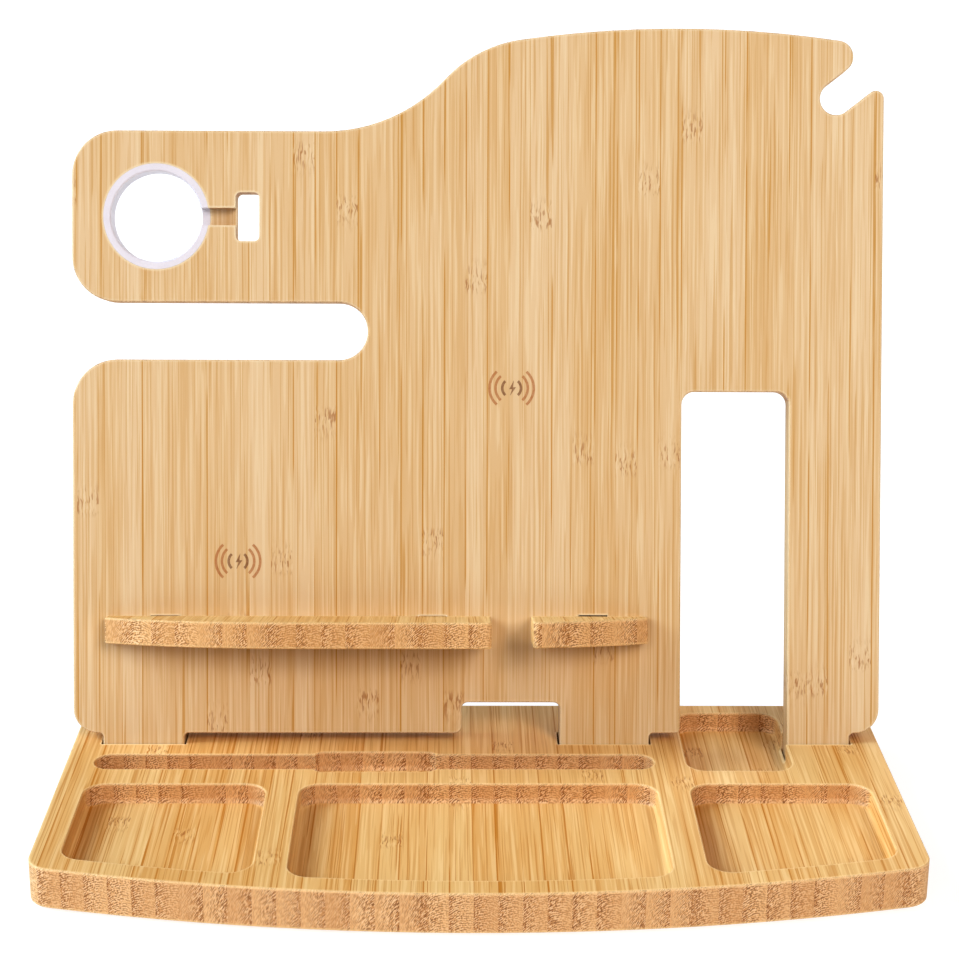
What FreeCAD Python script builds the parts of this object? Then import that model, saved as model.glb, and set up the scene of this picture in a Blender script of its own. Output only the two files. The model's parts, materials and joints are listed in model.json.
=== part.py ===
import FreeCAD, Part
import math
import os

# Bamboo charging station: a milled base, a leaning panel tabbed into it, two plug-in ledges and a two-coil
# charger let into the back of the panel under a screwed cover. Millimetres, +Z up, the viewer stands at -Y.
# Base pieces are drawn in place. Panel pieces are drawn upright, with X across, Y back from the panel's front
# face and Z up from the base top, and are then leaned.

# Base board
base_width = 250.0
base_front_reach = 94.7  # from the panel's front line to the middle of the bowed front edge
base_rear_reach = 29.4  # from the panel's front line to the rear edge
base_thickness = 12.0
front_bow = 15.3  # how far the front edge falls back at the sides
base_corner_radius = 8.0
base_edge_round = 0.4

# Hollows milled in the base
hollow_depth = 6.0
hollow_floor_round = 1.6
side_rim = 8.5
front_rim = 7.4
rib_width = 9.8  # wood left between neighbouring hollows
middle_tray_width = 106.0
tray_rear_reach = 28.2  # from the panel's front line forward to the trays' rear walls
tray_corner_radius = 6.5
groove_reach = 12.8  # from the panel's front line forward to the middle of the pen groove
groove_width = 10.2
grip_length = 38.4
grip_width = 13.8
grip_corner_radius = 4.0
pocket_width = 32.3
pocket_shift = 0.1  # to the right of the cut-out's middle
pocket_front_reach = 18.9
pocket_rear_reach = 23.1
pocket_corner_radius = 6.0

# Feet
foot_radius = 6.0
foot_thickness = 1.2
foot_inset = 20.0

# Panel board
panel_lean = 16.0  # degrees back from upright
panel_height = 221.2
panel_thickness = 8.0
panel_edge_round = 0.5
crown_peak_inset = 62.3  # from the panel's right edge to the crown's peak
crown_radius = 342.0
shoulder_radius = 39.6
sweep_radius = 50.9
sweep_run = 110.3  # from where the sweep leaves the arm to the crown's peak
arm_drop = 32.0  # from the crown's peak down to the arm's top edge
arm_height = 52.6
arm_corner_radius = 13.8
strap_slot_height = 17.7
strap_slot_length = 90.9
hook_lobe_inset = 2.4  # from the panel's right edge to where the hook's upper edge meets the crown
hook_reach = 19.6  # from the hook's round end to the crown along its upper edge
hook_width = 10.0
hook_rise = 38.0  # degrees
hook_lobe_radius = 5.0
hook_tip_radius = 2.5
cutout_width = 33.4
cutout_height = 109.4
cutout_corner_radius = 4.0
cutout_leg_width = 9.6  # shoulder between the middle tab and the cut-out

# Tabs under the panel and their mortises
shoulder_gap = 3.3
tab_depth = 7.5
tab_lead_radius = 1.0
tab_land = 0.2
left_tab_width = 25.0
right_tab_width = 19.4
foot_corner_radius = 7.5
relief_radius = 1.5
mortise_side_clearance = 0.4
mortise_end_clearance = 0.6

# Cable notch at the foot of the panel, in line with the phone coil, the ledge gap and the socket
port_x = 10.35
notch_width = 30.5
notch_height = 12.9
notch_corner_radius = 2.0

# Watch ring, its cable channel and the cable slot
watch_inset = 25.8
watch_bore_radius = 13.9
watch_ring_wall = 2.3
watch_ring_clearance = 0.05
watch_ring_chamfer = 0.4
cable_channel_width = 5.4
cable_channel_depth = 4.2
cable_slot_reach = 24.4  # from the watch ring's centre to the slot
cable_slot_width = 7.3
cable_slot_height = 15.0
cable_slot_corner_radius = 1.6

# Ledges
ledge_top = 39.7
ledge_thickness = 8.0
ledge_depth = 20.5
ledge_straight = 56.0  # straight middle of the shared front line
ledge_sweep_radius = 110.0
ledge_side_margin = 10.5
ledge_gap = 12.6
ledge_corner_radius = 1.5
ledge_edge_round = 0.5
tenon_width = 8.4
long_tenon_inset = 18.0  # from either end of the long ledge to a tenon's middle
short_tenon_inset = 16.7  # from the short ledge's right end to its tenon's middle
tenon_side_clearance = 0.3
long_tenon_top_clearance = 0.15
short_tenon_top_clearance = 0.4

# Charger hollows behind the panel
front_wall = 2.5
coil_tape_thickness = 0.4
coil_thickness = 1.2
coil_wire_width = 0.95
coil_pitch = 1.25
ferrite_thickness = 1.0
ferrite_overhang = 1.0
ferrite_notch_width = 5.0
coil_pocket_clearance = 0.6
phone_coil_up = 110.4
phone_coil_inner_radius = 10.5
phone_coil_turns = 8
earbud_coil_inset = 50.9
earbud_coil_up = 56.7
earbud_coil_inner_radius = 7.5
earbud_coil_turns = 6
lead_radius = 0.45
lead_spacing = 2.4
lead_landing = 4.0  # how far a lead reaches over the board
wire_channel_width = 5.0

# Control board and what stands on it
board_width = 44.0
board_height = 31.5
board_thickness = 1.0
board_corner_radius = 1.5
board_clearance = 0.6
board_lift = 4.5  # from the cover's lower edge to the board
chip_side = 6.0
chip_height = 1.0
chip_place_shares = ((-0.2, 0.6), (0.22, 0.6))
capacitor_width = 2.4
capacitor_length = 3.2
capacitor_height = 1.5
capacitor_place_shares = ((-0.4, 0.86), (-0.31, 0.86), (-0.22, 0.86), (-0.13, 0.86))
inductor_side = 6.4
inductor_height = 2.2
inductor_corner_radius = 1.6
inductor_place_share = (0.3, 0.24)

# USB-C socket, facing down
socket_width = 8.94
socket_height = 3.2
socket_depth = 7.3
socket_wall = 0.3
socket_clearance = 0.15
socket_leg_width = 1.4
socket_leg_length = 2.0
tongue_width = 6.7
tongue_thickness = 0.7
tongue_setback = 1.2
tongue_root_depth = 2.0
plug_trough_width = 13.0
plug_trough_length = 27.0
plug_trough_wall = 1.6
plug_trough_corner_radius = 2.0

# Rear cover and its screws
cover_thickness = 1.5
cover_clearance = 0.2
cover_land = 6.0  # wood around a coil pocket that the cover rests on
cover_lower_edge = 44.0
cover_corner_radius = 5.0
cover_bend_radius = 9.0
screw_head_radius = 1.8
screw_shank_radius = 1.0
screw_length = 4.4
screw_tip_length = 1.0
screw_sink = 0.1
screw_clearance = 0.05
screw_edge_inset = 3.6
screw_cross_width = 0.5
screw_cross_length = 2.2
screw_cross_depth = 0.5

# Modelling margins
overrun = 5.0  # how far a cutter runs past the face it opens
match_gap = 0.01


def around(middle, width):
    return middle - width / 2, middle + width / 2


# Places worked out from the sizes above
ORIGIN = FreeCAD.Vector(0, 0, 0)
ACROSS = FreeCAD.Vector(1, 0, 0)
BACK = FreeCAD.Vector(0, 1, 0)
UP = FreeCAD.Vector(0, 0, 1)
lean_sin = math.sin(math.radians(panel_lean))
lean_cos = math.cos(math.radians(panel_lean))
half_width = base_width / 2
base_top = foot_thickness + base_thickness
panel_edge_loss = panel_edge_round * (lean_sin + lean_cos - 1)
panel_rear_reach = panel_height * lean_sin + panel_thickness * lean_cos - panel_edge_loss
panel_line = (base_front_reach - panel_rear_reach) / 2  # centres the whole part front to back
front_radius = (half_width ** 2 + front_bow ** 2) / (2 * front_bow)

crown_peak_x = half_width - crown_peak_inset
sweep_start_x = crown_peak_x - sweep_run
arm_top = panel_height - arm_drop
arm_bottom = arm_top - arm_height
strap_slot_bottom = arm_bottom - strap_slot_height
outer_tab_edge = half_width - foot_corner_radius - relief_radius - tab_land
left_tab = (-outer_tab_edge, -outer_tab_edge + left_tab_width)
right_tab = (outer_tab_edge - right_tab_width, outer_tab_edge)
cutout = (right_tab[0] - cutout_width, right_tab[0])
middle_tab = (port_x + notch_width / 2, cutout[0] - cutout_leg_width)
notch_left = port_x - notch_width / 2
pocket = around(sum(cutout) / 2 + pocket_shift, pocket_width)
hook_sin = math.sin(math.radians(hook_rise))
hook_cos = math.cos(math.radians(hook_rise))
hook_lobe_x = half_width - hook_lobe_inset
hook_lobe_z = panel_height - crown_radius + math.sqrt(crown_radius ** 2 - (hook_lobe_x - crown_peak_x) ** 2)
hook_centre = (
    hook_lobe_x - hook_reach * hook_cos + hook_width / 2 * hook_sin,
    hook_lobe_z - hook_reach * hook_sin - hook_width / 2 * hook_cos,
)

watch_ring_radius = watch_bore_radius + watch_ring_wall
watch_centre = (-half_width + watch_inset, arm_bottom + arm_height / 2)
cable_slot_left = watch_centre[0] + cable_slot_reach

ledge_ends = (-half_width + ledge_side_margin, cutout[0] - ledge_side_margin)
ledge_middle = (ledge_ends[0] + ledge_ends[1]) / 2
long_ledge_span = (ledge_ends[0], port_x - ledge_gap / 2)
short_ledge_span = (port_x + ledge_gap / 2, ledge_ends[1])
long_tenons = (long_ledge_span[0] + long_tenon_inset, long_ledge_span[1] - long_tenon_inset)
short_tenons = (short_ledge_span[1] - short_tenon_inset,)
ledge_bottom = ledge_top - ledge_thickness

phone_centre = (port_x, phone_coil_up)
earbud_centre = (-half_width + earbud_coil_inset, earbud_coil_up)
coil_front = front_wall + coil_tape_thickness
coil_rear = coil_front + coil_thickness
phone_coil_radius = phone_coil_inner_radius + phone_coil_turns * coil_pitch + coil_wire_width
earbud_coil_radius = earbud_coil_inner_radius + earbud_coil_turns * coil_pitch + coil_wire_width
phone_ferrite_radius = phone_coil_radius + ferrite_overhang
earbud_ferrite_radius = earbud_coil_radius + ferrite_overhang
phone_pocket_radius = phone_ferrite_radius + coil_pocket_clearance
earbud_pocket_radius = earbud_ferrite_radius + coil_pocket_clearance
phone_cover_radius = phone_pocket_radius + cover_land
earbud_cover_radius = earbud_pocket_radius + cover_land
cover_front = panel_thickness - cover_thickness
board_rear = coil_rear
board_front = board_rear - board_thickness
board_left = port_x - board_width / 2
board_bottom = cover_lower_edge + board_lift
board_top = board_bottom + board_height
socket_middle = cover_front - socket_height / 2
socket_inner = cover_lower_edge + socket_depth


def box(x_span, y_span, z_span):
    corner = FreeCAD.Vector(x_span[0], y_span[0], z_span[0])
    return Part.makeBox(x_span[1] - x_span[0], y_span[1] - y_span[0], z_span[1] - z_span[0], corner)


def disc(centre, radius, y_span):
    """Round plate parallel to the panel."""
    foot = FreeCAD.Vector(centre[0], y_span[0], centre[1])
    return Part.makeCylinder(radius, y_span[1] - y_span[0], foot, BACK)


def at(x, z):
    return FreeCAD.Vector(x, 0, z)


def on_circle(centre, radius, angle):
    return at(centre[0] + radius * math.cos(angle), centre[1] + radius * math.sin(angle))


def arc(centre, radius, start, end):
    points = [on_circle(centre, radius, a) for a in (start, (start + end) / 2, end)]
    return Part.Arc(*points).toShape()


def plate(edges, y_span):
    """Plate parallel to the panel from its closed outline."""
    face = Part.Face(Part.Wire(edges))
    face.translate(BACK * y_span[0])
    return face.extrude(BACK * (y_span[1] - y_span[0]))


def standing_edges(shape, direction, spots):
    """Straight edges along the direction that pass through one of the spots."""
    found = []
    for edge in shape.Edges:
        ends = [vertex.Point for vertex in edge.Vertexes]
        if len(ends) == 2 and (ends[1] - ends[0]).cross(direction).Length < match_gap:
            if any(spot.distanceToLine(ends[0], direction) < match_gap for spot in spots):
                found.append(edge)
    return found


def round_corners(shape, radius, spots):
    """Round the corners of a plate parallel to the panel."""
    return shape.makeFillet(radius, standing_edges(shape, BACK, [at(x, z) for x, z in spots]))


def rounded_box(x_span, y_span, z_span, radius):
    """Box with its four corners rounded as seen from the front of the panel."""
    spots = [(x, z) for x in x_span for z in z_span]
    return round_corners(box(x_span, y_span, z_span), radius, spots)


def edges_at_level(shape, axis, level):
    """Edges that lie flat at one level along Y or Z."""
    found = []
    for edge in shape.Edges:
        low, high = getattr(edge.BoundBox, axis + "Min"), getattr(edge.BoundBox, axis + "Max")
        if abs(low - level) < match_gap and abs(high - level) < match_gap:
            found.append(edge)
    return found


def lean(shape):
    """Carry an upright panel piece to its place on the base."""
    placed = shape.copy()
    placed.rotate(ORIGIN, ACROSS, -panel_lean)
    placed.translate(FreeCAD.Vector(0, panel_line, base_top))
    return placed


# Base


def hollow_cutter(plan, radius):
    """Round a straight-walled cutter's corners and floor, as a milling cutter leaves them."""
    upright = [edge for edge in plan.Edges if edge.BoundBox.ZLength > hollow_depth]
    rounded = plan.makeFillet(radius, upright)
    return rounded.makeFillet(hollow_floor_round, edges_at_level(rounded, "Z", base_top - hollow_depth))


def hollow_levels():
    return base_top - hollow_depth, base_top + overrun


def tray_cutter(x_span):
    """Tray whose front wall keeps an even rim behind the bowed front edge."""
    rear = panel_line - tray_rear_reach
    block = box(x_span, (rear - base_front_reach, rear), hollow_levels())
    low, high = hollow_levels()
    bow_centre = FreeCAD.Vector(0, panel_line - base_front_reach + front_radius, low)
    bow = Part.makeCylinder(front_radius - front_rim, high - low, bow_centre)
    return hollow_cutter(block.common(bow), tray_corner_radius)


def groove_cutter():
    """Pen groove with round ends and a wider grip in its middle."""
    low, high = hollow_levels()
    middle_y = panel_line - groove_reach
    end_radius = groove_width / 2
    ends = (-half_width + side_rim + end_radius, pocket[0] - rib_width - end_radius)
    cutter = box(ends, around(middle_y, groove_width), (low, high))
    for x in ends:
        cutter = cutter.fuse(Part.makeCylinder(end_radius, high - low, FreeCAD.Vector(x, middle_y, low)))
    grip = box(around(sum(ends) / 2, grip_length), around(middle_y, grip_width), (low, high))
    upright = [edge for edge in grip.Edges if edge.BoundBox.ZLength > hollow_depth]
    grip = grip.makeFillet(grip_corner_radius, upright)
    cutter = cutter.fuse(grip).removeSplitter()
    return cutter.makeFillet(hollow_floor_round, edges_at_level(cutter, "Z", low))


def pocket_cutter():
    y_span = (panel_line - pocket_front_reach, panel_line + pocket_rear_reach)
    return hollow_cutter(box(pocket, y_span, hollow_levels()), pocket_corner_radius)


def base_blank():
    front = panel_line - base_front_reach
    rear = panel_line + base_rear_reach
    side_front = front + front_bow
    bottom = foot_thickness
    plan = ((-half_width, side_front), (half_width, side_front), (half_width, rear), (-half_width, rear))
    corners = [FreeCAD.Vector(x, y, bottom) for x, y in plan]
    edges = [Part.Arc(corners[0], FreeCAD.Vector(0, front, bottom), corners[1]).toShape()]
    for start, end in zip(corners[1:], corners[2:] + corners[:1]):
        edges.append(Part.makeLine(start, end))
    blank = Part.Face(Part.Wire(edges)).extrude(UP * base_thickness)
    return blank.makeFillet(base_corner_radius, standing_edges(blank, UP, corners))


def mortise_cutter(tab):
    x_span = (tab[0] - mortise_end_clearance, tab[1] + mortise_end_clearance)
    y_span = (-mortise_side_clearance, panel_thickness + mortise_side_clearance)
    return lean(box(x_span, y_span, (-tab_depth, overrun)))


def base_tray():
    side_tray_inner = middle_tray_width / 2 + rib_width
    side_tray_outer = half_width - side_rim
    tray_spans = (
        (-side_tray_outer, -side_tray_inner),
        around(0, middle_tray_width),
        (side_tray_inner, side_tray_outer),
    )
    base = base_blank()
    for cutter in [tray_cutter(span) for span in tray_spans] + [groove_cutter(), pocket_cutter()]:
        base = base.cut(cutter)
    rims = edges_at_level(base, "Z", base_top) + edges_at_level(base, "Z", foot_thickness)
    base = base.makeFillet(base_edge_round, rims)
    for tab in (left_tab, middle_tab, right_tab):
        base = base.cut(mortise_cutter(tab))
    return base


def non_slip_feet():
    front = panel_line - base_front_reach + front_bow
    rear = panel_line + base_rear_reach
    feet = []
    for x in (-half_width + foot_inset, half_width - foot_inset):
        for y in (front + foot_inset, rear - foot_inset / 2):
            feet.append(Part.makeCylinder(foot_radius, foot_thickness, FreeCAD.Vector(x, y, 0)))
    return Part.makeCompound(feet)


# Panel


def crown_arcs():
    """Tangent arcs from the arm's top edge up over the crown to the panel's right edge."""
    sweep_centre = (sweep_start_x, arm_top + sweep_radius)
    crown_centre = (crown_peak_x, panel_height - crown_radius)
    to_sweep = sweep_radius + shoulder_radius
    to_crown = crown_radius - shoulder_radius
    dx, dz = sweep_centre[0] - crown_centre[0], sweep_centre[1] - crown_centre[1]
    apart = math.hypot(dx, dz)
    opening = math.acos((to_crown ** 2 + apart ** 2 - to_sweep ** 2) / (2 * to_crown * apart))
    crown_start = math.atan2(dz, dx) - opening
    shoulder_centre = on_circle(crown_centre, to_crown, crown_start)
    shoulder_centre = (shoulder_centre.x, shoulder_centre.z)
    to_join = math.atan2(shoulder_centre[1] - sweep_centre[1], shoulder_centre[0] - sweep_centre[0])
    crown_end = math.acos((half_width - crown_peak_x) / crown_radius)
    return [
        arc(sweep_centre, sweep_radius, -math.pi / 2, to_join),
        arc(shoulder_centre, shoulder_radius, to_join + math.pi, crown_start),
        arc(crown_centre, crown_radius, crown_start, crown_end),
    ]


def panel_blank():
    arcs = crown_arcs()
    right_top = arcs[-1].valueAt(arcs[-1].LastParameter)
    corners = [
        right_top,
        at(half_width, shoulder_gap),
        at(-half_width, shoulder_gap),
        at(-half_width, arm_top),
        at(sweep_start_x, arm_top),
    ]
    sides = [Part.makeLine(start, end) for start, end in zip(corners, corners[1:])]
    return plate(arcs + sides, (0, panel_thickness))


def through(x_span, z_span):
    return box(x_span, (-overrun, panel_thickness + overrun), z_span)


def through_disc(centre, radius):
    return disc(centre, radius, (-overrun, panel_thickness + overrun))


def strap_slot_cutter():
    end_radius = strap_slot_height / 2
    end_x = -half_width + strap_slot_length - end_radius
    slot = through((-half_width - overrun, end_x), (strap_slot_bottom, arm_bottom))
    return slot.fuse(through_disc((end_x, strap_slot_bottom + end_radius), end_radius))


def hook_cutter():
    slot = through((0, base_width), around(0, hook_width)).fuse(through_disc((0, 0), hook_width / 2))
    slot.rotate(ORIGIN, BACK, -hook_rise)
    slot.translate(at(*hook_centre))
    return slot


def round_hook(panel):
    """Round the lobe above the hook's mouth and the tip below it."""
    along = at(hook_cos, hook_sin)
    to_side = at(-hook_sin, hook_cos) * (hook_width / 2)
    upper_edge = at(*hook_centre) + to_side
    lower_edge = at(*hook_centre) - to_side
    for start, radius in ((upper_edge, hook_lobe_radius), (lower_edge, hook_tip_radius)):
        mouth = []
        for edge in panel.Edges:
            ends = [vertex.Point for vertex in edge.Vertexes]
            if len(ends) == 2 and (ends[1] - ends[0]).cross(BACK).Length < match_gap:
                foot = at(ends[0].x, ends[0].z)
                beyond = (foot - start).dot(along) > match_gap
                if beyond and foot.distanceToLine(start, along) < match_gap:
                    mouth.append(edge)
        panel = panel.makeFillet(radius, mouth)
    return panel


def tabbed_panel():
    """The panel's outline with its tabs, slots and rounded corners."""
    panel = panel_blank()
    for tab in (left_tab, middle_tab, right_tab):
        panel = panel.fuse(box(tab, (0, panel_thickness), (-tab_depth, shoulder_gap + overrun)))
    panel = panel.cut(strap_slot_cutter())
    panel = panel.cut(through((notch_left, middle_tab[0]), (-tab_depth, notch_height)))
    panel = panel.cut(through(cutout, (-tab_depth, cutout_height)))
    panel = panel.cut(hook_cutter()).removeSplitter()
    panel = round_hook(panel)
    arm_corners = [(-half_width, z) for z in (arm_top, arm_bottom, strap_slot_bottom)]
    foot_corners = [(x, shoulder_gap) for x in (-half_width, half_width)]
    relief_corners = [(x, shoulder_gap) for x in left_tab + middle_tab[1:] + right_tab[1:] + cutout[:1]]
    tab_corners = [(x, -tab_depth) for x in left_tab + middle_tab + right_tab]
    notch_corners = [(notch_left, notch_height), (middle_tab[0], notch_height), (notch_left, shoulder_gap)]
    cutout_corners = [(x, cutout_height) for x in cutout]
    panel = round_corners(panel, arm_corner_radius, arm_corners)
    panel = round_corners(panel, foot_corner_radius, foot_corners)
    panel = round_corners(panel, relief_radius, relief_corners)
    panel = round_corners(panel, tab_lead_radius, tab_corners)
    panel = round_corners(panel, notch_corner_radius, notch_corners)
    return round_corners(panel, cutout_corner_radius, cutout_corners)


def watch_cutters():
    """Seat of the watch ring, the cable channel beside it and the slot the cable leaves by."""
    z_span = around(watch_centre[1], cable_slot_height)
    y_span = (-overrun, panel_thickness + overrun)
    slot_span = (cable_slot_left, cable_slot_left + cable_slot_width)
    channel_span = (watch_centre[0], cable_slot_left + cable_slot_width / 2)
    return [
        through_disc(watch_centre, watch_ring_radius + watch_ring_clearance),
        rounded_box(slot_span, y_span, z_span, cable_slot_corner_radius),
        box(channel_span, (-overrun, cable_channel_depth), around(watch_centre[1], cable_channel_width)),
    ]


def ledge_mortise_cutters():
    width = tenon_width + 2 * tenon_side_clearance
    mortises = [(x, long_tenon_top_clearance) for x in long_tenons]
    mortises += [(x, short_tenon_top_clearance) for x in short_tenons]
    return [through(around(x, width), (ledge_bottom, ledge_top + above)) for x, above in mortises]


def cover_outline(y_span, inset):
    """Cover plate around both coil pockets, the board and the wire channel, drawn smaller by the inset."""
    phone_radius = phone_cover_radius - inset
    earbud_radius = earbud_cover_radius - inset
    low = cover_lower_edge + inset
    left, right = around(port_x, 2 * phone_radius)
    upper = earbud_coil_up + earbud_radius
    outline = disc(phone_centre, phone_radius, y_span).fuse(
        [
            disc(earbud_centre, earbud_radius, y_span),
            box((left, right), y_span, (low, phone_coil_up)),
            box((earbud_centre[0], right), y_span, (low, upper)),
        ]
    )
    outline = outline.removeSplitter()
    outline = round_corners(outline, cover_corner_radius - inset, [(right, low)])
    dip = math.sqrt(earbud_radius ** 2 - (earbud_coil_up - low) ** 2)
    return round_corners(outline, cover_bend_radius + inset, [(left, upper), (earbud_centre[0] + dip, low)])


def coil_pocket(centre, radius):
    return disc(centre, radius, (front_wall, cover_front + overrun))


def charger_cutters():
    """Hollows for the coils, the board, the leads, the socket and the cable's plug."""
    board_x = around(port_x, board_width + 2 * board_clearance)
    board_z = (board_bottom - board_clearance, board_top + board_clearance)
    socket_x = around(port_x, socket_width + 2 * socket_clearance)
    trough_x = around(port_x, plug_trough_width)
    trough_y = (plug_trough_wall, panel_thickness + overrun)
    trough_z = (cover_lower_edge - plug_trough_length, cover_lower_edge)
    wire_z = around(earbud_coil_up, wire_channel_width)
    wire_x = around(port_x, wire_channel_width)
    rear = cover_front + overrun
    inner = [
        coil_pocket(phone_centre, phone_pocket_radius),
        coil_pocket(earbud_centre, earbud_pocket_radius),
        rounded_box(board_x, (front_wall, rear), board_z, board_corner_radius),
        box((earbud_centre[0], port_x), (board_rear, rear), wire_z),
        box(wire_x, (board_rear, rear), (board_top, phone_coil_up)),
        box(socket_x, (socket_middle - socket_height / 2 - socket_clearance, rear), (0, board_bottom)),
    ]
    under_cover = cover_outline((0, cover_front + overrun), 0)
    return [cutter.common(under_cover) for cutter in inner] + [
        cover_outline((cover_front, panel_thickness + overrun), 0),
        rounded_box(trough_x, trough_y, trough_z, plug_trough_corner_radius),
    ]


def back_panel():
    panel = tabbed_panel()
    rims = edges_at_level(panel, "Y", 0) + edges_at_level(panel, "Y", panel_thickness)
    panel = panel.makeFillet(panel_edge_round, rims)
    for cutter in watch_cutters() + ledge_mortise_cutters() + charger_cutters():
        panel = panel.cut(cutter)
    for spot in screw_spots():
        panel = panel.cut(screw_blank(spot, screw_clearance))
    return panel


def watch_ring():
    """Sleeve flush with both faces of the arm, notched in front for the charger's cable."""
    ring = disc(watch_centre, watch_ring_radius, (0, panel_thickness))
    ring = ring.cut(through_disc(watch_centre, watch_bore_radius))
    front_rims = edges_at_level(ring, "Y", 0)
    ring = ring.makeChamfer(watch_ring_chamfer, [min(front_rims, key=lambda rim: rim.Curve.Radius)])
    x_span = (watch_centre[0], watch_centre[0] + watch_ring_radius + overrun)
    z_span = around(watch_centre[1], cable_channel_width)
    return ring.cut(box(x_span, (-overrun, cable_channel_depth), z_span))


# Ledges


def ledge_plan(z_span):
    """Shelf that both ledges are cut from, with a straight front that sweeps back at both ends."""
    shelf = box(ledge_ends, (-ledge_depth, 0), z_span)
    sweep_y = ledge_sweep_radius - ledge_depth
    for side in (-1, 1):
        start = ledge_middle + side * ledge_straight / 2
        end = ledge_middle + side * (ledge_ends[1] - ledge_ends[0])
        outside = box((min(start, end), max(start, end)), (-ledge_depth, 0), z_span)
        centre = FreeCAD.Vector(start, sweep_y, z_span[0])
        outside = outside.cut(Part.makeCylinder(ledge_sweep_radius, z_span[1] - z_span[0], centre))
        shelf = shelf.cut(outside)
    return shelf


def ledge(x_span, tenons):
    """One ledge with rounded front corners, eased edges and its tenons."""
    z_span = (ledge_bottom, ledge_top)
    shelf = ledge_plan(z_span).common(box(x_span, (-ledge_depth, 0), z_span)).removeSplitter()
    corners = []
    for edge in shelf.Edges:
        bounds = edge.BoundBox
        at_end = min(abs(bounds.XMin - x) for x in x_span) < match_gap and bounds.XLength < match_gap
        if at_end and bounds.ZLength > ledge_thickness / 2 and bounds.YMax < -match_gap:
            corners.append(edge)
    shelf = shelf.makeFillet(ledge_corner_radius, corners)
    rims = [
        edge
        for level in z_span
        for edge in edges_at_level(shelf, "Z", level)
        if edge.BoundBox.YMin < -match_gap
    ]
    shelf = shelf.makeFillet(ledge_edge_round, rims)
    for x in tenons:
        shelf = shelf.fuse(box(around(x, tenon_width), (0, panel_thickness), z_span))
    return shelf.removeSplitter()


# Charger


def spiral(inner_radius, turns):
    """Flat winding as one strip of half circles, starting and ending on +X."""
    inner_line, outer_line = [], []
    for half_turn in range(2 * turns):
        centre = (coil_pitch / 2 * (half_turn % 2), 0)
        radius = inner_radius + coil_pitch / 2 * half_turn
        start = math.pi * half_turn
        inner_line.append(arc(centre, radius, start, start + math.pi))
        outer_line.append(arc(centre, radius + coil_wire_width, start, start + math.pi))
    end = inner_radius + coil_pitch * turns
    edges = inner_line + [Part.makeLine(at(end, 0), at(end + coil_wire_width, 0))] + outer_line[::-1]
    edges.append(Part.makeLine(at(inner_radius + coil_wire_width, 0), at(inner_radius, 0)))
    return plate(edges, (coil_front, coil_rear))


def placed_coil(inner_radius, turns, centre, turn_to):
    coil = spiral(inner_radius, turns)
    coil.rotate(ORIGIN, BACK, turn_to)
    coil.translate(at(*centre))
    return coil


def phone_coil():
    return placed_coil(phone_coil_inner_radius, phone_coil_turns, phone_centre, 90)


def earbud_coil():
    return placed_coil(earbud_coil_inner_radius, earbud_coil_turns, earbud_centre, 0)


def ferrite(centre, radius, notch):
    """Ferrite disc behind a coil, notched where the leads come out."""
    plate_behind = disc(centre, radius, (coil_rear, coil_rear + ferrite_thickness))
    return plate_behind.cut(notch)


def phone_ferrite():
    y_span = (0, panel_thickness)
    notch = box(around(port_x, ferrite_notch_width), y_span, (0, phone_coil_up - phone_coil_inner_radius))
    return ferrite(phone_centre, phone_ferrite_radius, notch)


def earbud_ferrite():
    x_span = (earbud_centre[0] + earbud_coil_inner_radius, port_x)
    notch = box(x_span, (0, panel_thickness), around(earbud_coil_up, ferrite_notch_width))
    return ferrite(earbud_centre, earbud_ferrite_radius, notch)


def coil_tape(centre, radius):
    return disc(centre, radius, (front_wall, coil_front))


def lead_offsets():
    return -lead_spacing / 2, lead_spacing / 2


def phone_coil_leads():
    """One lead from the inner turn and one from the outer turn, laid straight down to the board."""
    starts = (phone_coil_up - phone_coil_inner_radius, phone_coil_up - phone_coil_radius)
    end = board_top - lead_landing
    leads = []
    for offset, start in zip(lead_offsets(), starts):
        foot = FreeCAD.Vector(port_x + offset, coil_rear + lead_radius, end)
        leads.append(Part.makeCylinder(lead_radius, start - end, foot, UP))
    return Part.makeCompound(leads)


def earbud_coil_leads():
    """One lead from the inner turn and one from the outer turn, laid across to the board."""
    starts = (earbud_centre[0] + earbud_coil_inner_radius, earbud_centre[0] + earbud_coil_radius)
    end = board_left + lead_landing
    leads = []
    for offset, start in zip(lead_offsets(), starts):
        foot = FreeCAD.Vector(start, coil_rear + lead_radius, earbud_coil_up + offset)
        leads.append(Part.makeCylinder(lead_radius, end - start, foot, ACROSS))
    return Part.makeCompound(leads)


def control_board():
    """Board with a notch at its foot that the socket is sunk in."""
    z_span = (board_bottom, board_top)
    board = rounded_box(around(port_x, board_width), (board_front, board_rear), z_span, board_corner_radius)
    notch_x = around(port_x, socket_width + 2 * socket_clearance)
    return board.cut(box(notch_x, (0, panel_thickness), (0, socket_inner + socket_clearance)))


def board_tape():
    z_span = (socket_inner + board_clearance, board_top)
    return box(around(port_x, board_width), (front_wall, board_front), z_span)


def on_board(share, width, length, height):
    """Block standing on the rear face of the board at shares of the board's size."""
    x = port_x + share[0] * board_width
    z = board_bottom + share[1] * board_height
    return box(around(x, width), (board_rear, board_rear + height), around(z, length))


def control_chips():
    chips = [on_board(share, chip_side, chip_side, chip_height) for share in chip_place_shares]
    return Part.makeCompound(chips)


def resonant_capacitors():
    blocks = []
    for share in capacitor_place_shares:
        blocks.append(on_board(share, capacitor_width, capacitor_length, capacitor_height))
    return Part.makeCompound(blocks)


def power_inductor():
    block = on_board(inductor_place_share, inductor_side, inductor_side, inductor_height)
    corners = [edge for edge in block.Edges if edge.BoundBox.YLength > inductor_height / 2]
    return block.makeFillet(inductor_corner_radius, corners)


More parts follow.
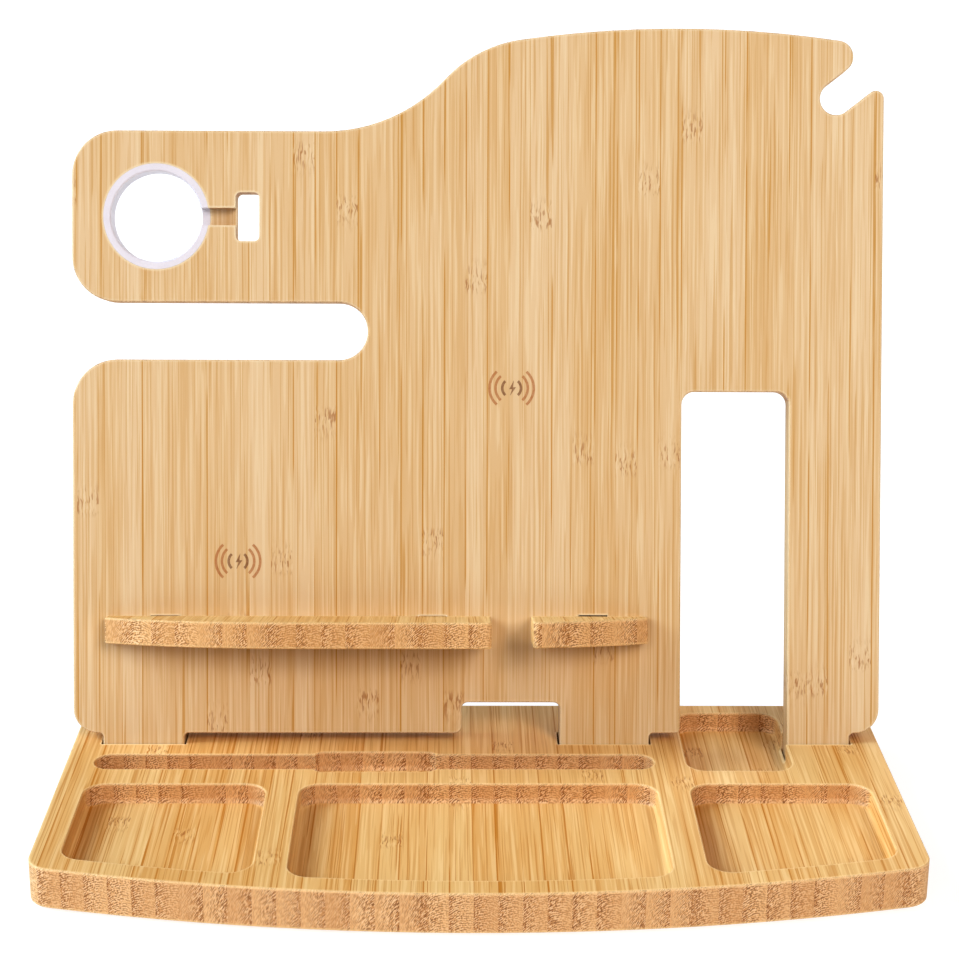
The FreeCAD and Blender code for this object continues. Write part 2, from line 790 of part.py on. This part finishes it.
def socket_oval(width, height, z_span):
    """Oval bar along the socket's way in."""
    reach = (width - height) / 2
    y_span = around(socket_middle, height)
    bar = box((port_x - reach, port_x + reach), y_span, z_span)
    for x in (port_x - reach, port_x + reach):
        end = FreeCAD.Vector(x, socket_middle, z_span[0])
        bar = bar.fuse(Part.makeCylinder(height / 2, z_span[1] - z_span[0], end))
    return bar.removeSplitter()


def usb_c_shell():
    """Steel shell open at both ends, with a leg on each side that is soldered to the board."""
    z_span = (cover_lower_edge, socket_inner)
    shell = socket_oval(socket_width, socket_height, z_span)
    leg_x = around(port_x, socket_width + 2 * socket_leg_width)
    leg_z = (socket_inner - socket_leg_length, socket_inner)
    shell = shell.fuse(box(leg_x, (board_rear, board_rear + socket_wall), leg_z))
    inner = socket_oval(socket_width - 2 * socket_wall, socket_height - 2 * socket_wall, z_span)
    return shell.cut(inner).removeSplitter()


def usb_c_tongue():
    """Moulded plug at the back of the shell with the contact tongue standing out of it."""
    inner_width = socket_width - 2 * socket_wall
    inner_height = socket_height - 2 * socket_wall
    root = socket_oval(inner_width, inner_height, (socket_inner - tongue_root_depth, socket_inner))
    z_span = (cover_lower_edge + tongue_setback, socket_inner)
    blade = box(around(port_x, tongue_width), around(socket_middle, tongue_thickness), z_span)
    return root.fuse(blade).removeSplitter()


# Cover


def screw_spots():
    """Screw places in the wood beside the coil pockets and at the cover's two lower corners."""
    spots = []
    phone_circle = (phone_pocket_radius + phone_cover_radius) / 2
    earbud_circle = (earbud_pocket_radius + earbud_cover_radius) / 2
    for angle in (45, 135):
        spots.append(on_circle(phone_centre, phone_circle, math.radians(angle)))
    for angle in (135, 225):
        spots.append(on_circle(earbud_centre, earbud_circle, math.radians(angle)))
    for side in (-1, 1):
        x = port_x + side * (phone_cover_radius - screw_edge_inset)
        spots.append(at(x, cover_lower_edge + screw_edge_inset))
    return spots


def screw_blank(spot, margin):
    """Countersunk screw without its cross, drawn larger by the margin."""
    head = screw_head_radius + margin
    shank = screw_shank_radius + margin
    rear = panel_thickness - screw_sink
    head_length = screw_head_radius - screw_shank_radius
    tip_start = rear - screw_length + screw_tip_length
    head_cone = Part.makeCone(shank, head, head_length, spot + BACK * (rear - head_length), BACK)
    shank_rod = Part.makeCylinder(shank, rear - head_length - tip_start, spot + BACK * tip_start, BACK)
    tip = Part.makeCone(margin, shank, screw_tip_length, spot + BACK * (tip_start - screw_tip_length), BACK)
    return shank_rod.fuse([head_cone, tip]).removeSplitter()


def cover_screws():
    screws = []
    rear = panel_thickness - screw_sink
    for spot in screw_spots():
        screw = screw_blank(spot, 0)
        y_span = (rear - screw_cross_depth, rear + overrun)
        across = around(spot.x, screw_cross_length), around(spot.z, screw_cross_width)
        upright = around(spot.x, screw_cross_width), around(spot.z, screw_cross_length)
        for x_span, z_span in (across, upright):
            screw = screw.cut(box(x_span, y_span, z_span))
        screws.append(screw)
    return Part.makeCompound(screws)


def rear_cover():
    cover = cover_outline((cover_front, panel_thickness), cover_clearance)
    for spot in screw_spots():
        cover = cover.cut(screw_blank(spot, screw_clearance))
        mouth = (panel_thickness - screw_sink, panel_thickness)
        cover = cover.cut(disc((spot.x, spot.z), screw_head_radius + screw_clearance, mouth))
    return cover


panel_pieces = {
    "back_panel": back_panel(),
    "watch_ring": watch_ring(),
    "long_ledge": ledge(long_ledge_span, long_tenons),
    "short_ledge": ledge(short_ledge_span, short_tenons),
    "phone_coil": phone_coil(),
    "phone_ferrite": phone_ferrite(),
    "phone_coil_tape": coil_tape(phone_centre, phone_coil_radius),
    "phone_coil_leads": phone_coil_leads(),
    "earbud_coil": earbud_coil(),
    "earbud_ferrite": earbud_ferrite(),
    "earbud_coil_tape": coil_tape(earbud_centre, earbud_coil_radius),
    "earbud_coil_leads": earbud_coil_leads(),
    "control_board": control_board(),
    "board_tape": board_tape(),
    "control_chips": control_chips(),
    "resonant_capacitors": resonant_capacitors(),
    "power_inductor": power_inductor(),
    "usb_c_shell": usb_c_shell(),
    "usb_c_tongue": usb_c_tongue(),
    "rear_cover": rear_cover(),
    "cover_screws": cover_screws(),
}
pieces = {"base_tray": base_tray(), "non_slip_feet": non_slip_feet()}
for node, shape in panel_pieces.items():
    pieces[node] = lean(shape)

os.makedirs("parts", exist_ok=True)
for node, shape in pieces.items():
    shape.exportStep("parts/" + node + ".step")
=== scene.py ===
import json
import math
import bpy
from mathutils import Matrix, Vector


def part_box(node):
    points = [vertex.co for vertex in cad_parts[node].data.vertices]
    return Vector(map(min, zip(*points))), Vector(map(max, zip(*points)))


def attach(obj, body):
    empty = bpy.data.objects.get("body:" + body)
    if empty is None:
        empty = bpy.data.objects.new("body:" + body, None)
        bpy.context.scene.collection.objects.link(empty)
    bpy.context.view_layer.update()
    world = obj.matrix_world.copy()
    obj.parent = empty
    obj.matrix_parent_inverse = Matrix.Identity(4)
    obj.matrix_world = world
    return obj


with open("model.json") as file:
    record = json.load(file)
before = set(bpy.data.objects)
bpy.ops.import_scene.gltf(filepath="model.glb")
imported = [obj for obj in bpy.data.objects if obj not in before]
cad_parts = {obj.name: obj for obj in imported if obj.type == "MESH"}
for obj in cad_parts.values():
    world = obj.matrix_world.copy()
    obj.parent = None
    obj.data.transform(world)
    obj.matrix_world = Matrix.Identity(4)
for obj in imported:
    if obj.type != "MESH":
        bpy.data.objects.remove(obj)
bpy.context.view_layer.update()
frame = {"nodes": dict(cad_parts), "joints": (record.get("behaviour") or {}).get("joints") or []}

from types import SimpleNamespace

import bmesh
import bpy
from mathutils import Vector

# Looks, light and camera for the bamboo charging station. Metres, +Z up, the viewer stands at -Y.
# Lengths in the materials and the signs are in millimetres, and colours are sRGB values from 0 to 255.
# A pair whose name ends in "at" holds the value where something starts to show and the one where it shows
# in full.

MM = 1000.0  # millimetres in a metre
ACROSS = Vector((1, 0, 0))
panel_lift = next(joint for joint in frame["joints"] if joint["name"] == "panel_lift")
panel_up = Vector(panel_lift["axis"]).normalized()
panel_front = ACROSS.cross(panel_up)
panel_lean = math.atan2(panel_up.y, panel_up.z)

# Bamboo boards: the turn about X that brings the grain to Y, the glued strips, and the tints.
# The tints from pale to light belong to the side grain, and those from end_pale on to the end grain.
board_strip_width = 6.65
ledge_strip_width = 7.4
base_board = SimpleNamespace(
    turn=0.0,
    strip_width=board_strip_width,
    seed=0.31,
    contrast=1.05,
    pale=(222, 184, 126),
    honey=(209, 155, 85),
    streak=(187, 123, 39),
    mark=(159, 93, 34),
    light=(236, 206, 156),
    end_pale=(214, 170, 120),
    end_brown=(191, 140, 89),
    pore=(103, 55, 19),
    end_light=(232, 206, 170),
)
panel_board = SimpleNamespace(
    turn=panel_lean - math.pi / 2,
    strip_width=board_strip_width,
    seed=12.6,
    contrast=0.85,
    pale=(210, 184, 148),
    honey=(201, 166, 117),
    streak=(184, 135, 54),
    mark=(155, 99, 43),
    light=(221, 203, 171),
    end_pale=(211, 172, 127),
    end_brown=(190, 143, 97),
    pore=(124, 75, 34),
    end_light=(224, 195, 156),
)
ledge_board = SimpleNamespace(
    turn=panel_lean,
    strip_width=ledge_strip_width,
    seed=25.4,
    contrast=1.0,
    pale=(219, 185, 129),
    honey=(206, 158, 93),
    streak=(185, 124, 46),
    mark=(158, 95, 37),
    light=(233, 205, 155),
    end_pale=(211, 167, 114),
    end_brown=(188, 137, 81),
    pore=(100, 52, 17),
    end_light=(232, 205, 168),
)
boards = {"bamboo_base": base_board, "bamboo_panel": panel_board, "bamboo_ledges": ledge_board}
strips_one_way = 4.5  # neighbouring strips that share an outer side
strip_stray = 7.3  # sets the grain of one strip apart from the next
fibre_stray = 61.0  # how far a strip's fibres are moved by chance

# Fibres of the side grain: hairs all over, dark streaks, and short strokes in the knuckles.
# The salt keeps one kind from following another.
hair = SimpleNamespace(
    width=0.75,
    length=45.0,
    detail=1.0,
    salt=3.0,
    dark_at=(0.56, 0.61),
    dark_share=0.26,
    light_at=(0.44, 0.39),
    light_share=0.33,
)
streak = SimpleNamespace(
    width=0.5,
    length=80.0,
    detail=0.0,
    salt=11.0,
    dark_at=(0.63, 0.68),
    dark_shares=(0.45, 0.85),  # on the inner and the outer side of a strip
)
stroke = SimpleNamespace(
    width=0.5,
    length=3.4,
    detail=1.0,
    salt=29.0,
    dark_at=(0.55, 0.63),
    dark_share=0.66,
    light_at=(0.45, 0.36),
    light_share=0.28,
)

# Side grain: its warmth, its slow sway, and the dark lines along some of the glued edges
strip_warmth = 0.6
outer_warmth = 0.2
outer_at = (0.45, 0.0)
patch_warmth = 0.6
patch_length = 65.0
sway = 0.5
sway_length = 32.5
glue_line_at = (0.5, 0.25)  # distance from the glued edge
glue_line_share = 0.9
glued_strip_at = (0.3, 0.5)
glued_patch_at = (0.42, 0.52)

# Knuckles, where a strip crosses a joint of the bamboo stem: longer to one side, with wavy fibres
knuckle_spacing = 270.0
knuckle_short_side = 3.5
knuckle_long_side = 10.0
wave_width = 2.2
wave_length = 5.0
wave_bend = 1.6

# End grain: cut fibre bundles in slanting rows, closer together on the outer side of each strip
end_facing_at = (0.2, 0.5)
row_spacing = 0.72
row_slants = (0.6, 1.2)
row_bow = 0.1
row_share = 0.14
wobble_length = 1.8
wobble_turns = 1.4
bundle_length = 0.46
close_at = (0.95, 0.1)
close_stray = 0.4
end_strip_shade = 0.6
end_close_shade = 0.3
end_rim_at = (0.25, 0.0)
gap_at = (0.47, 0.31)
dash_at = (0.53, 0.69)
gap_shares = (0.28, 0.6)  # where the bundles are sparse and where they are close
dash_shares = (0.24, 0.68)

# Pale outer edges, partly wear and partly a painted highlight, found by looking into the board over this
# reach: free under a face, half cut off at an edge
wear_highlight_reach = 0.9
wear_highlight_at = (0.93, 0.66)
wear_highlight_share = 0.9
wear_highlight_samples = 6

# Surface of the bamboo
wood_roughness = (0.64, 0.5)
wood_specular = 0.3
wood_bump = 0.12
wood_relief = 0.2

# Charging signs on the panel, lasered darker in the middle
sign_arc_radii = (2.9, 5.0, 6.85)
sign_arc_half_angle = math.radians(48)
sign_stroke = 0.8
sign_steps = 14
sign_bolt = ((0.70, 2.42), (-0.75, -0.32), (0.16, -0.32), (-0.54, -2.42), (1.34, 0.27), (0.43, 0.27))
sign_stand = 0.03  # out of the panel's face
sign_sink = 0.3  # into it
burnt_dark = (112, 60, 20)
burnt_pale = (166, 102, 48)
burnt_shares = (0.45, 0.95)  # least and most

# Plain materials: two close colours, the size of their speckle, the roughness from and to, metal, and bump
plain_looks = {
    "ring_satin_white": dict(colours=((218, 212, 217), (208, 202, 208)), grain=0.4, roughness=(0.32, 0.42)),
    "cover_fine_black": dict(
        colours=((43, 42, 41), (32, 32, 32)), grain=0.25, roughness=(0.5, 0.7), bump=0.4
    ),
    "foot_rubber": dict(
        colours=((50, 50, 50), (36, 36, 37)), grain=0.3, roughness=(0.75, 0.9), bump=0.3
    ),
    "plated_steel": dict(
        colours=((206, 207, 209), (182, 183, 187)), grain=0.15, roughness=(0.26, 0.4), metallic=1.0
    ),
    "enamelled_copper": dict(
        colours=((220, 146, 98), (196, 118, 74)), grain=0.3, roughness=(0.28, 0.42), metallic=1.0
    ),
    "sintered_ferrite": dict(colours=((66, 66, 70), (48, 48, 52)), grain=0.2, roughness=(0.55, 0.75)),
    "adhesive_film": dict(colours=((234, 224, 200), (218, 206, 178)), grain=0.5, roughness=(0.4, 0.55)),
    "red_insulation": dict(colours=((182, 40, 34), (156, 28, 26)), grain=0.3, roughness=(0.35, 0.5)),
    "black_moulding": dict(colours=((36, 36, 38), (24, 24, 26)), grain=0.15, roughness=(0.4, 0.55)),
    "green_solder_mask": dict(colours=((26, 106, 60), (18, 88, 48)), grain=0.6, roughness=(0.25, 0.38)),
    "fired_tan": dict(colours=((182, 144, 102), (160, 124, 86)), grain=0.2, roughness=(0.45, 0.6)),
}
speckle_detail = 3.0
speckle_bump = 0.1
speckle_relief = 0.1
broad_speckle = 20.0  # grains across

# What each node is made of
node_looks = {
    "base_tray": "bamboo_base",
    "back_panel": "bamboo_panel",
    "long_ledge": "bamboo_ledges",
    "short_ledge": "bamboo_ledges",
    "watch_ring": "ring_satin_white",
    "rear_cover": "cover_fine_black",
    "non_slip_feet": "foot_rubber",
    "cover_screws": "plated_steel",
    "usb_c_shell": "plated_steel",
    "usb_c_tongue": "black_moulding",
    "control_chips": "black_moulding",
    "phone_coil": "enamelled_copper",
    "earbud_coil": "enamelled_copper",
    "phone_ferrite": "sintered_ferrite",
    "earbud_ferrite": "sintered_ferrite",
    "power_inductor": "sintered_ferrite",
    "phone_coil_tape": "adhesive_film",
    "earbud_coil_tape": "adhesive_film",
    "board_tape": "adhesive_film",
    "phone_coil_leads": "red_insulation",
    "earbud_coil_leads": "red_insulation",
    "control_board": "green_solder_mask",
    "resonant_capacitors": "fired_tan",
}

# Floor and room
floor_reach = 20.0
floor_tint = (132, 134, 136)
floor_roughness = 0.9
floor_glow_tint = (255, 255, 255)
floor_glow = 0.82
room_tint = (255, 170, 90)
room_glow = 0.03

# Lamps: the direction towards each, its brightness, its spread in degrees and its tint
warm = (1.05, 1.0, 0.95)
even = (0.97, 1.0, 1.03)
cool = (0.78, 1.0, 1.22)
lamps = {
    "front_right_low": ((0.45, -0.74, 0.5), 0.44, 26, warm),
    "front_right_high": ((0.4, -0.55, 0.73), 0.22, 30, warm),
    "front_left_low": ((-0.45, -0.74, 0.5), 0.23, 26, warm),
    "left_low": ((-0.9, -0.1, 0.42), 0.7, 30, cool),
    "left_side": ((-0.76, 0.1, 0.64), 0.62, 25, cool),
    "back": ((0.2, 0.85, 0.48), 0.31, 50, even),
}

# Camera, fitted to the photograph: lens and sensor in millimetres, place in metres, turn in degrees
camera_lens = 79.278
camera_sensor = 36.0
camera_place = (-0.008865, -0.586364, 0.291716)
camera_turn = (72.2148, -0.3787, -0.7413)
view_gamma = 0.8

# Noise, where a material asks for nothing else
noise_detail = 2.0
noise_roughness = 0.55


def linear(colour):
    """Linear RGBA of an sRGB colour."""
    shares = [value / 255 for value in colour]
    return [s / 12.92 if s <= 0.04045 else ((s + 0.055) / 1.055) ** 2.4 for s in shares] + [1.0]


class Net:
    """One material's nodes, ending in a Principled shader."""

    def __init__(self, name):
        self.material = bpy.data.materials.new(name)
        self.material.use_nodes = True
        self.tree = self.material.node_tree
        self.shader = next(node for node in self.tree.nodes if node.type == "BSDF_PRINCIPLED")

    def add(self, kind, inputs, **settings):
        """New node with these settings and inputs."""
        made = self.tree.nodes.new("ShaderNode" + kind)
        for name, value in settings.items():
            setattr(made, name, value)
        self.feed(made, inputs)
        return made

    def feed(self, node, inputs):
        """Links each input that is a socket, and sets any other."""
        for key, value in inputs.items():
            if isinstance(value, bpy.types.NodeSocket):
                self.tree.links.new(value, node.inputs[key])
            else:
                node.inputs[key].default_value = value

    def maths(self, operation, *values):
        return self.add("Math", dict(enumerate(values)), operation=operation).outputs[0]

    def product(self, first, *others):
        for other in others:
            first = self.maths("MULTIPLY", first, other)
        return first

    def total(self, first, *others):
        for other in others:
            first = self.maths("ADD", first, other)
        return first

    def centred(self, value, reach):
        """A value from 0 to 1 moved to lie between minus and plus half the reach."""
        return self.product(self.maths("SUBTRACT", value, 0.5), reach)

    def vector(self, x, y, z):
        return self.add("CombineXYZ", {0: x, 1: y, 2: z}).outputs[0]

    def parts(self, vector):
        return self.add("SeparateXYZ", {0: vector}).outputs

    def smooth(self, value, start, end):
        """0 at the start and 1 at the end, with eased ends."""
        inputs = {"Value": value, "From Min": start, "From Max": end}
        return self.add("MapRange", inputs, interpolation_type="SMOOTHSTEP").outputs[0]

    def shown(self, value, at, *shares):
        """How far a value shows something, times the shares."""
        return self.product(self.smooth(value, *at), *shares)

    def span(self, value, low, high):
        """A value from 0 to 1 stretched from low to high."""
        return self.add("MapRange", {"Value": value, "To Min": low, "To Max": high}).outputs[0]

    def noise(self, vector, detail=noise_detail, scale=1.0):
        inputs = {"Vector": vector, "Scale": scale, "Detail": detail, "Roughness": noise_roughness}
        return self.add("TexNoise", inputs).outputs["Fac"]

    def mix(self, share, first, second):
        """Two colours, or heights, mixed by the second one's share."""
        first, second = (linear(end) if isinstance(end, tuple) else end for end in (first, second))
        return self.add("Mix", {0: share, 6: first, 7: second}, data_type="RGBA").outputs[2]

    def place(self):
        """The point on the object in millimetres."""
        metres = self.add("TexCoord", {}).outputs["Object"]
        return self.add("VectorMath", {0: metres, "Scale": MM}, operation="SCALE").outputs[0]

    def bump(self, height, strength, relief):
        """Relief on the surface, this many millimetres deep."""
        made = self.add("Bump", {"Height": height, "Strength": strength, "Distance": relief / MM})
        self.feed(self.shader, {"Normal": made.outputs[0]})


# Bamboo


def grain_directions(net, board):
    """A point's place across the strips, along the grain and in depth, and how far end grain shows there."""
    coordinates = net.add("TexCoord", {}).outputs
    turn = (board.turn, 0, 0)
    place = net.add("Mapping", {"Vector": coordinates["Object"], "Rotation": turn, "Scale": (MM, MM, MM)})
    across, along, depth = net.parts(place.outputs[0])
    facing = net.add("Mapping", {"Vector": coordinates["Normal"], "Rotation": turn}, vector_type="VECTOR")
    end_facing = net.maths("ABSOLUTE", net.parts(facing.outputs[0])[1])
    end = net.smooth(end_facing, *end_facing_at)
    return SimpleNamespace(across=across, along=along, depth=depth, end=end)


def glued_strips(net, wood, board):
    """The strip that a point lies in, its random values, and how far the point is from its outer side."""
    strips = net.total(net.maths("DIVIDE", wood.across, board.strip_width), board.seed)
    share = net.maths("FRACT", strips)
    wood.strip = net.maths("FLOOR", strips)
    wood.edge = net.product(share, board.strip_width)
    dice = net.add("TexWhiteNoise", {"Vector": net.vector(wood.strip, board.seed, 0)}, noise_dimensions="3D")
    wood.tone, wood.lined, wood.shift = net.parts(dice.outputs["Color"])
    group = net.vector(net.maths("DIVIDE", wood.strip, strips_one_way), board.seed, 0)
    turned = net.maths("GREATER_THAN", net.noise(group, detail=0.0), 0.5)
    wood.way = net.span(turned, -1.0, 1.0)
    wood.skin = net.maths("ABSOLUTE", net.maths("SUBTRACT", share, turned))
    wood.inward = net.product(wood.skin, board.strip_width)


def knuckles(net, wood):
    """Where a strip's knuckles lie, and the place across that its fibres follow in waves and a slow sway."""
    turns = net.total(net.maths("DIVIDE", wood.along, knuckle_spacing), wood.shift)
    offset = net.product(net.centred(net.maths("FRACT", turns), knuckle_spacing), wood.way)
    short_side = net.smooth(offset, -knuckle_short_side, 0.0)
    wood.knuckle = net.product(short_side, net.smooth(offset, knuckle_long_side, 0.0))
    wave_across = net.maths("DIVIDE", wood.across, wave_width)
    wave_along = net.maths("DIVIDE", wood.along, wave_length)
    ripple = net.noise(net.vector(wave_across, wave_along, wood.strip))
    waves = net.product(net.centred(ripple, wave_bend), wood.knuckle)
    drift = net.noise(net.vector(wood.strip, net.maths("DIVIDE", wood.along, sway_length), wood.tone))
    wood.bent = net.total(wood.across, waves, net.centred(drift, sway))


def fibres(net, wood, kind):
    """Noise drawn out into fibres of this kind, different in each strip."""
    stray = net.maths("MULTIPLY_ADD", wood.shift, fibre_stray, kind.salt)
    across = net.total(net.maths("DIVIDE", wood.bent, kind.width), stray)
    along = net.total(net.maths("DIVIDE", wood.along, kind.length), stray)
    depth = net.maths("MULTIPLY_ADD", wood.strip, strip_stray, net.maths("DIVIDE", wood.depth, kind.width))
    return net.noise(net.vector(across, along, depth), detail=kind.detail)


def glue_lines(net, wood, patches):
    """Thin lines along the glued edges of some strips, broken up by patches."""
    lined = net.product(net.smooth(patches, *glued_patch_at), net.smooth(wood.lined, *glued_strip_at))
    return net.shown(wood.edge, glue_line_at, lined, glue_line_share)


def side_grain(net, wood, board):
    """Colour and height of long fibres, warmer on each strip's outer side, with glue lines and knuckles."""
    patches = net.noise(net.vector(wood.strip, net.maths("DIVIDE", wood.along, patch_length), wood.shift))
    outer = net.smooth(wood.skin, *outer_at)
    by_strip = net.product(wood.tone, strip_warmth)
    by_side = net.product(outer, outer_warmth)
    warmth = net.total(by_strip, by_side, net.centred(patches, patch_warmth))
    colour = net.mix(warmth, board.pale, board.honey)
    hairs = fibres(net, wood, hair)
    colour = net.mix(net.shown(hairs, hair.dark_at, hair.dark_share * board.contrast), colour, board.streak)
    colour = net.mix(net.shown(hairs, hair.light_at, hair.light_share), colour, board.light)
    streak_share = net.span(outer, *streak.dark_shares)
    streaks = net.shown(fibres(net, wood, streak), streak.dark_at, streak_share, board.contrast)
    colour = net.mix(streaks, colour, board.streak)
    colour = net.mix(glue_lines(net, wood, patches), colour, board.streak)
    strokes = fibres(net, wood, stroke)
    dark = net.shown(strokes, stroke.dark_at, wood.knuckle, stroke.dark_share)
    light = net.shown(strokes, stroke.light_at, wood.knuckle, stroke.light_share)
    colour = net.mix(light, net.mix(dark, colour, board.mark), board.light)
    return colour, net.maths("SUBTRACT", hairs, net.total(streaks, dark))


def cut_bundles(net, wood):
    """Noise of the cut fibre bundles, gathered into bowed, slanting rows."""
    slant = net.product(net.span(wood.shift, *row_slants), wood.way)
    bow = net.product(wood.inward, wood.inward, row_bow)
    row = net.total(wood.depth, net.product(wood.inward, slant), bow)
    spot = net.vector(wood.inward, row, net.product(wood.strip, strip_stray))
    wobble = net.centred(net.noise(spot, detail=0.0, scale=1 / wobble_length), wobble_turns)
    turns = net.total(net.maths("DIVIDE", row, row_spacing), wobble)
    waves = net.maths("SINE", net.product(turns, math.tau))
    return net.total(net.product(waves, row_share), net.noise(spot, detail=0.0, scale=1 / bundle_length))


def end_grain(net, wood, board):
    """Colour and height of the cut bundles: dark dashes, close on a strip's outer side and sparse inside."""
    bundles = cut_bundles(net, wood)
    close = net.smooth(net.total(wood.skin, net.centred(wood.tone, close_stray)), *close_at)
    by_strip = net.product(wood.tone, end_strip_shade)
    by_side = net.product(close, end_close_shade)
    shade = net.total(by_strip, by_side, net.smooth(wood.skin, *end_rim_at))
    colour = net.mix(shade, board.end_pale, board.end_brown)
    gaps = net.shown(bundles, gap_at, net.span(close, *gap_shares))
    colour = net.mix(gaps, colour, board.end_light)
    dashes = net.shown(bundles, dash_at, net.span(close, *dash_shares))
    return net.mix(dashes, colour, board.pore), dashes


def worn_and_highlit_edges(net):
    """How pale a point is, partly from wear and partly from a painted highlight: most on the board's outer
    edges, and not at all a little way from them.
    """
    reach = {"Distance": wear_highlight_reach / MM}
    inside = net.add("AmbientOcclusion", reach, inside=True, only_local=True, samples=wear_highlight_samples)
    return net.shown(inside.outputs["AO"], wear_highlight_at, wear_highlight_share)


def bamboo(name, board, burnt=None):
    """A board's wood, scorched unevenly to the burnt colour where a sign is lasered into it."""
    net = Net(name)
    wood = grain_directions(net, board)
    glued_strips(net, wood, board)
    knuckles(net, wood)
    colour, height = side_grain(net, wood, board)
    roughness = net.span(height, *wood_roughness)
    if burnt:
        scorch = net.span(net.noise(net.place(), scale=1 / sign_stroke), *burnt_shares)
        colour = net.mix(scorch, colour, burnt)
    else:
        end_colour, end_height = end_grain(net, wood, board)
        colour = net.mix(wood.end, colour, end_colour)
        # Outer edges turn paler: partly wear, partly a painted highlight of edges catching the light
        colour = net.mix(worn_and_highlit_edges(net), colour, board.light)
        height = net.mix(wood.end, height, end_height)
    net.feed(net.shader, {"Base Color": colour, "Roughness": roughness, "Specular IOR Level": wood_specular})
    net.bump(height, wood_bump, wood_relief)
    return net.material


# Other materials


def speckled(name, colours, grain, roughness, metallic=0.0, bump=speckle_bump):
    """Two close colours in a fine speckle, with roughness and relief from the same grain."""
    net = Net(name)
    place = net.place()
    fine = net.noise(place, detail=speckle_detail, scale=1 / grain)
    broad = net.noise(place, scale=1 / (grain * broad_speckle))
    colour = net.mix(net.maths("SUBTRACT", net.total(fine, broad), 0.5), *colours)
    gloss = net.span(fine, *roughness)
    net.feed(net.shader, {"Base Color": colour, "Roughness": gloss, "Metallic": metallic})
    net.bump(fine, bump, speckle_relief)
    return net.material


# Objects


def add_object(name, data):
    """New object in the scene."""
    made = bpy.data.objects.new(name, data)
    bpy.context.scene.collection.objects.link(made)
    return made


def add_mesh(name, shape, material):
    """New mesh object from a bmesh, which is freed."""
    mesh = bpy.data.meshes.new(name)
    shape.to_mesh(mesh)
    shape.free()
    mesh.materials.append(material)
    return add_object(name, mesh)


# Charging signs


def sign_prism(shape, middle, outline):
    """Shallow prism in the panel's front face from an outline across and up the panel, in millimetres."""
    levels = []
    for off in (sign_stand, -sign_sink):
        spots = [middle + (ACROSS * x + panel_up * z + panel_front * off) / MM for x, z in outline]
        levels.append([shape.verts.new(spot) for spot in spots])
    front, rear = levels
    shape.faces.new(front)
    shape.faces.new(rear[::-1])
    for i in range(len(outline)):
        j = (i + 1) % len(outline)
        shape.faces.new((front[j], front[i], rear[i], rear[j]))


def arc_outline(radius, towards):
    """Outline of one arc stroke about the sign's middle."""
    inner, outer = [], []
    for step in range(sign_steps + 1):
        angle = towards + sign_arc_half_angle * (2 * step / sign_steps - 1)
        for line, reach in ((inner, radius - sign_stroke / 2), (outer, radius + sign_stroke / 2)):
            line.append((reach * math.cos(angle), reach * math.sin(angle)))
    return outer + inner[::-1]


def sign_piece(name, material, middle, outlines):
    """One piece of a sign, which moves with the panel."""
    shape = bmesh.new()
    for outline in outlines:
        sign_prism(shape, middle, outline)
    piece = add_mesh(name, shape, material)
    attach(piece, "panel")


def on_panel_face(place):
    """The point of the panel's front face that lies straight in front of a place in the panel."""
    panel = frame["nodes"]["back_panel"].data
    face = max(vertex.co.dot(panel_front) for vertex in panel.vertices)
    return place + panel_front * (face - place.dot(panel_front))


def charging_sign(name, tape_node, dark, pale):
    """A bolt between three pairs of arcs over a coil, scorched less towards the outside."""
    low, high = (Vector(corner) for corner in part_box(tape_node))
    middle = on_panel_face((low + high) / 2)
    pairs = [[arc_outline(radius, towards) for towards in (0, math.pi)] for radius in sign_arc_radii]
    sign_piece(name + "_bolt", dark, middle, [sign_bolt] + pairs[0])
    sign_piece(name + "_arcs", pale, middle, pairs[1] + pairs[2])


# Floor, light and camera


def add_floor():
    """A wide plain floor, pale by its own even glow."""
    shape = bmesh.new()
    bmesh.ops.create_grid(shape, x_segments=1, y_segments=1, size=floor_reach)
    net = Net("floor_pale")
    net.feed(net.shader, {"Base Color": linear(floor_tint), "Roughness": floor_roughness})
    net.feed(net.shader, {"Emission Color": linear(floor_glow_tint), "Emission Strength": floor_glow})
    add_mesh("floor", shape, net.material)


def light_room():
    """Faint warm light from all around."""
    world = bpy.data.worlds.new("studio")
    bpy.context.scene.world = world
    world.use_nodes = True
    background = next(node for node in world.node_tree.nodes if node.type == "BACKGROUND")
    background.inputs["Color"].default_value = linear(room_tint)
    background.inputs["Strength"].default_value = room_glow


def add_lamp(name, towards, brightness, spread, tint):
    """Even light from one direction. The brightness is what a white face square to it shows."""
    lamp = bpy.data.lights.new(name, "SUN")
    lamp.energy = brightness * math.pi
    lamp.color = tint
    lamp.angle = math.radians(spread)
    holder = add_object(name, lamp)
    holder.rotation_euler = (-Vector(towards)).to_track_quat("-Z", "Y").to_euler()


def add_camera():
    """The photograph's view."""
    data = bpy.data.cameras.new("photo_camera")
    data.lens = camera_lens
    data.sensor_width = camera_sensor
    camera = add_object("photo_camera", data)
    camera.location = camera_place
    camera.rotation_euler = [math.radians(angle) for angle in camera_turn]
    bpy.context.scene.camera = camera


materials = {name: bamboo(name, board) for name, board in boards.items()}
for name, look in plain_looks.items():
    materials[name] = speckled(name, **look)
for name, node in frame["nodes"].items():
    node.data.materials.clear()
    node.data.materials.append(materials[node_looks[name]])

scorched_dark = bamboo("bamboo_scorched_dark", panel_board, burnt=burnt_dark)
scorched_pale = bamboo("bamboo_scorched_pale", panel_board, burnt=burnt_pale)
charging_sign("phone_sign", "phone_coil_tape", scorched_dark, scorched_pale)
charging_sign("earbud_sign", "earbud_coil_tape", scorched_dark, scorched_pale)

add_floor()
light_room()
for name, values in lamps.items():
    add_lamp(name, *values)
add_camera()
bpy.context.scene.view_settings.view_transform = "Standard"
bpy.context.scene.view_settings.gamma = view_gamma
